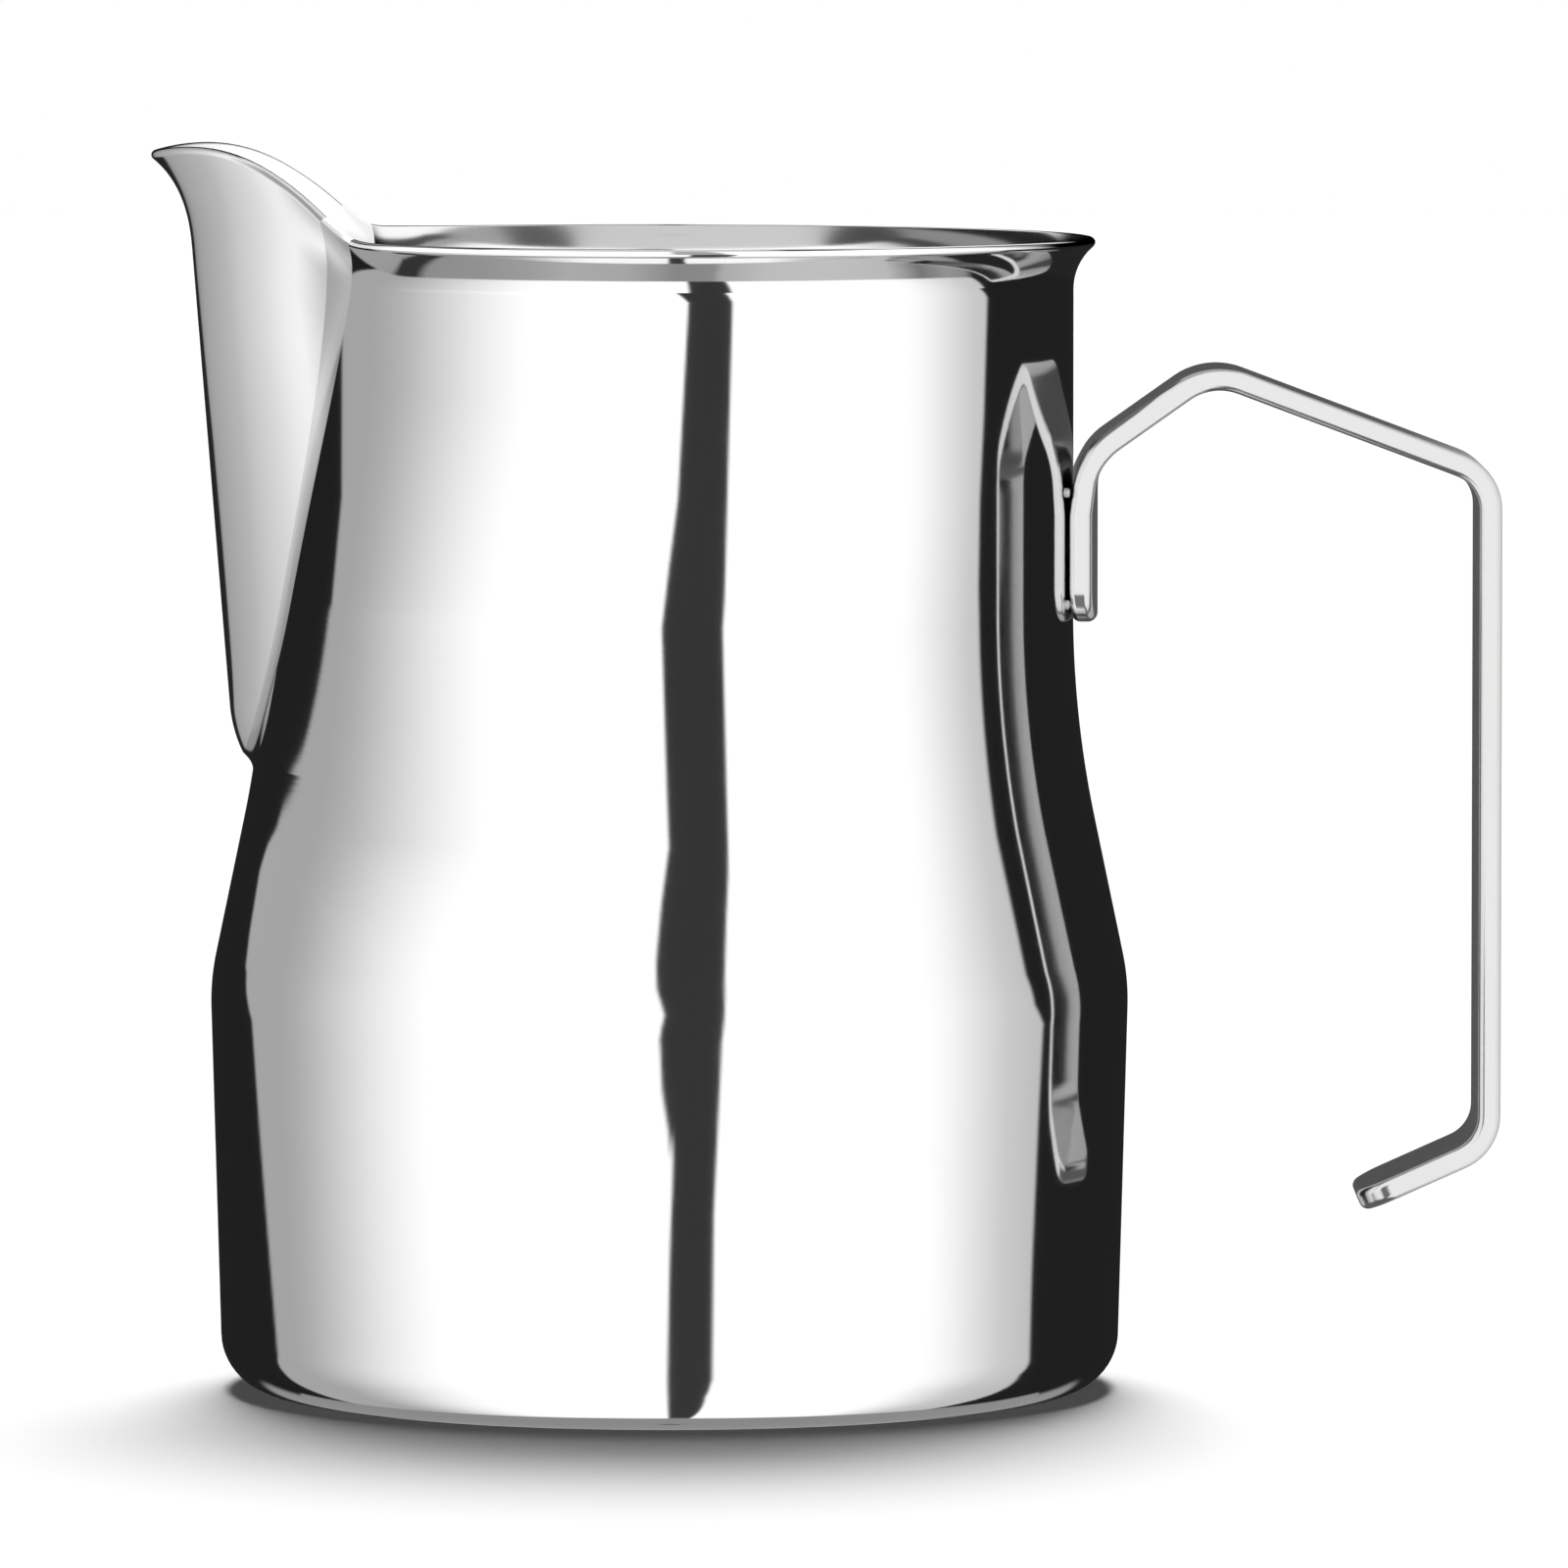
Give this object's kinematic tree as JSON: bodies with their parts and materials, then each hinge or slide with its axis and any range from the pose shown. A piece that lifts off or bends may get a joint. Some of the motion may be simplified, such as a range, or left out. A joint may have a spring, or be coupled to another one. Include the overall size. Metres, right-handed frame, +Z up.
{
  "type": "milk frothing pitcher",
  "caption": "Polished stainless steel milk frothing pitcher: bellied cup with a rolled-out lip, a welded pouring beak and an open bent-strip handle.",
  "frame": {"origin": "centre of the flat base, on the plane that the pitcher stands on", "axes": "+Z up along the cup's axis, -X towards the pouring beak, +X towards the handle, +Y across the pitcher"},
  "size_m": [0.1302, 0.0888, 0.1204],
  "materials": {
    "polished_steel": "mirror-polished stainless steel",
    "satin_steel": "tumbled satin stainless steel",
    "weld_steel": "bare weld metal"
  },
  "bodies": {
    "root": {"cup": "polished_steel", "spout": "polished_steel", "spout_weld": "polished_steel", "handle": "satin_steel", "handle_weld_lower": "weld_steel", "handle_weld_upper": "weld_steel"}
  },
  "joints": []
}
